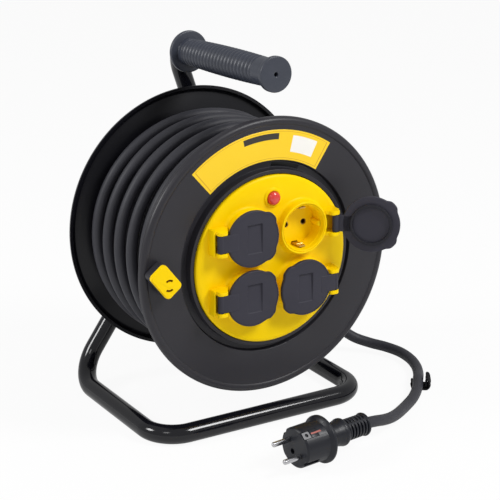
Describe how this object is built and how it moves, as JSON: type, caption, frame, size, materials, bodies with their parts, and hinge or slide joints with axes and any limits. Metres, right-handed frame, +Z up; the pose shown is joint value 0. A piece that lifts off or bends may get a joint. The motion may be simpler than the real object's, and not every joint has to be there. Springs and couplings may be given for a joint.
{
  "type": "extension cord reel",
  "caption": "Cable drum on an axle in a bent tube stand, with a fixed panel of flapped mains sockets, a winding knob, a carrying handle and a cord with a plug.",
  "frame": {"origin": "on the floor, under the middle of the reel in its width and depth, the free cord and its plug left out", "axes": "+Z up, +Y towards the back, along the drum's axle, +X to the right seen from the front"},
  "size_m": [0.3378, 0.3088, 0.3532],
  "materials": {
    "black_enamel": "gloss black enamel",
    "grip_rubber": "satin ribbed rubber",
    "zinc_steel": "zinc plated",
    "yellow_plastic": "semi-gloss moulded",
    "black_plastic": "satin moulded",
    "flap_plastic": "matte moulded",
    "seal_rubber": "matte",
    "contact_brass": "plain",
    "cutout_plastic": "matte",
    "red_plastic": "gloss",
    "bearing_plastic": "natural, smooth",
    "carbon": "carbon",
    "label_film": "printed film, bare",
    "cable_rubber": "matte rubber sheath",
    "tie_fabric": "woven hook strap",
    "plug_rubber": "satin rubber",
    "plated_pins": "nickel plated"
  },
  "bodies": {
    "stand": {"base_tube": "black_enamel", "handle_tube": "black_enamel", "handle_grip": "grip_rubber", "joint_screw": "zinc_steel", "hub_plate": "black_enamel", "plate_bolts": "zinc_steel", "plate_nuts": "zinc_steel", "axle": "zinc_steel", "axle_bolt": "zinc_steel", "retaining_ring": "zinc_steel", "thrust_washers": "bearing_plastic", "axle_screw": "zinc_steel", "socket_panel": "yellow_plastic", "socket_inserts": "yellow_plastic", "socket_housing": "black_plastic", "housing_screws": "zinc_steel", "contact_sleeves": "contact_brass", "earth_clips": "contact_brass", "live_busbar": "contact_brass", "neutral_busbar": "contact_brass", "earth_busbar": "contact_brass", "thermal_cutout": "cutout_plastic", "button_spring": "zinc_steel", "hinge_pins": "zinc_steel", "slip_ring_carrier": "bearing_plastic", "slip_rings": "contact_brass", "free_cord": "cable_rubber", "cord_tie": "tie_fabric", "plug_body": "plug_rubber", "plug_boot": "plug_rubber", "plug_pins": "plated_pins", "plug_earth_strips": "plated_pins"},
    "drum": {"front_flange": "black_plastic", "rear_flange": "black_plastic", "drum_barrel": "black_plastic", "flange_screws": "zinc_steel", "hub_bushes": "bearing_plastic", "brush_holder": "black_plastic", "brushes": "carbon", "brush_springs": "zinc_steel", "flange_label": "label_film", "knob_pin": "zinc_steel", "cable_core": "cable_rubber", "cable_winding": "cable_rubber"},
    "knob": {"knob_body": "black_plastic", "knob_cap": "yellow_plastic"},
    "button": {"reset_button": "red_plastic"},
    "flap_tl_body": {"flap_tl": "flap_plastic", "seal_tl": "seal_rubber"},
    "flap_tr_body": {"flap_tr": "flap_plastic", "seal_tr": "seal_rubber"},
    "flap_bl_body": {"flap_bl": "flap_plastic", "seal_bl": "seal_rubber"},
    "flap_br_body": {"flap_br": "flap_plastic", "seal_br": "seal_rubber"}
  },
  "joints": [
    {"name": "drum_spin", "type": "hinge", "parent": "stand", "child": "drum", "pos_m": [0, 0.00775, 0.1665], "axis": [0, 1, 0], "continuous": true},
    {"name": "knob_spin", "type": "hinge", "parent": "drum", "child": "knob", "pos_m": [-0.10956, -0.07425, 0.16363], "axis": [0, 1, 0], "continuous": true},
    {"name": "flap_tl_hinge", "type": "hinge", "parent": "stand", "child": "flap_tl_body", "pos_m": [-0.0605, -0.08775, 0.1945], "axis": [0, 0, -1], "range_deg": [0, 165]},
    {"name": "flap_tr_hinge", "type": "hinge", "parent": "stand", "child": "flap_tr_body", "pos_m": [0.0605, -0.08775, 0.1945], "axis": [0, 0, 1], "range_deg": [-140, 25]},
    {"name": "flap_bl_hinge", "type": "hinge", "parent": "stand", "child": "flap_bl_body", "pos_m": [-0.0605, -0.08775, 0.1385], "axis": [0, 0, -1], "range_deg": [0, 165]},
    {"name": "flap_br_hinge", "type": "hinge", "parent": "stand", "child": "flap_br_body", "pos_m": [0.0605, -0.08775, 0.1385], "axis": [0, 0, 1], "range_deg": [0, 165]},
    {"name": "reset_press", "type": "slide", "parent": "stand", "child": "button", "axis": [0, 1, 0], "range_m": [0, 0.002], "stiffness_N_per_m": 800, "deforming": ["button_spring"]}
  ]
}
